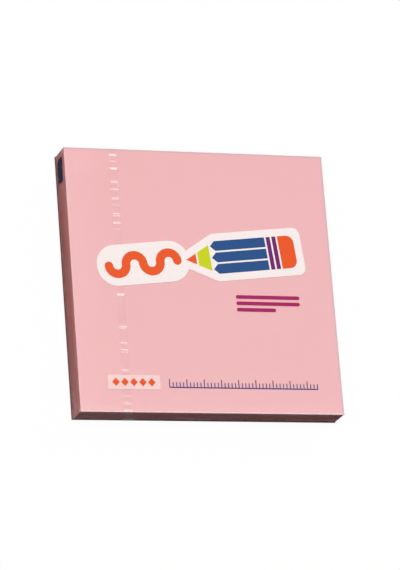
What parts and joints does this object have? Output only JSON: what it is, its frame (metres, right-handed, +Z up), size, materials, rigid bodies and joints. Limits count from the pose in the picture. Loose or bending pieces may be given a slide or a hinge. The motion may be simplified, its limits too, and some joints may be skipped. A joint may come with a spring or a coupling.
{
  "type": "sticky note pad",
  "caption": "Square pad of pink sticky notes in a clear film overwrap with folded ends, a tear tape and a printed face.",
  "frame": {"origin": "under the middle of the wrapped pad, at the lowest face of the film", "axes": "+X along the bottom edge of the printed face, +Y towards its top edge, +Z up out of the face"},
  "size_m": [0.0764, 0.0763, 0.0083],
  "materials": {
    "note_paper": "matt pastel pink paper",
    "backing_paper": "white release paper",
    "clear_film": "thin clear film with folds and fine wrinkles",
    "tape_film": "clear strip with fine cross wrinkles",
    "ink_white": "opaque white ink on film",
    "ink_blue": "printed ink",
    "ink_orange": "printed ink",
    "ink_lime": "printed ink",
    "ink_purple": "printed ink",
    "ink_magenta": "printed ink",
    "ink_violet": "printed ink",
    "ink_navy": "printed ink",
    "ink_pale": "opaque pale ink on film"
  },
  "bodies": {
    "root": {"note_block": "note_paper", "backing_sheet": "backing_paper", "film_wrap": "clear_film", "tear_tape": "tape_film", "eye_mark": "ink_navy", "motif_ground": "ink_white", "motif_wave": "ink_orange", "motif_lead": "ink_orange", "motif_cone": "ink_lime", "motif_shaft": "ink_blue", "motif_ferrule": "ink_purple", "motif_eraser": "ink_orange", "note_bars": "ink_magenta", "label_ground": "ink_pale", "label_marks": "ink_orange", "printed_scale": "ink_violet"}
  },
  "joints": []
}
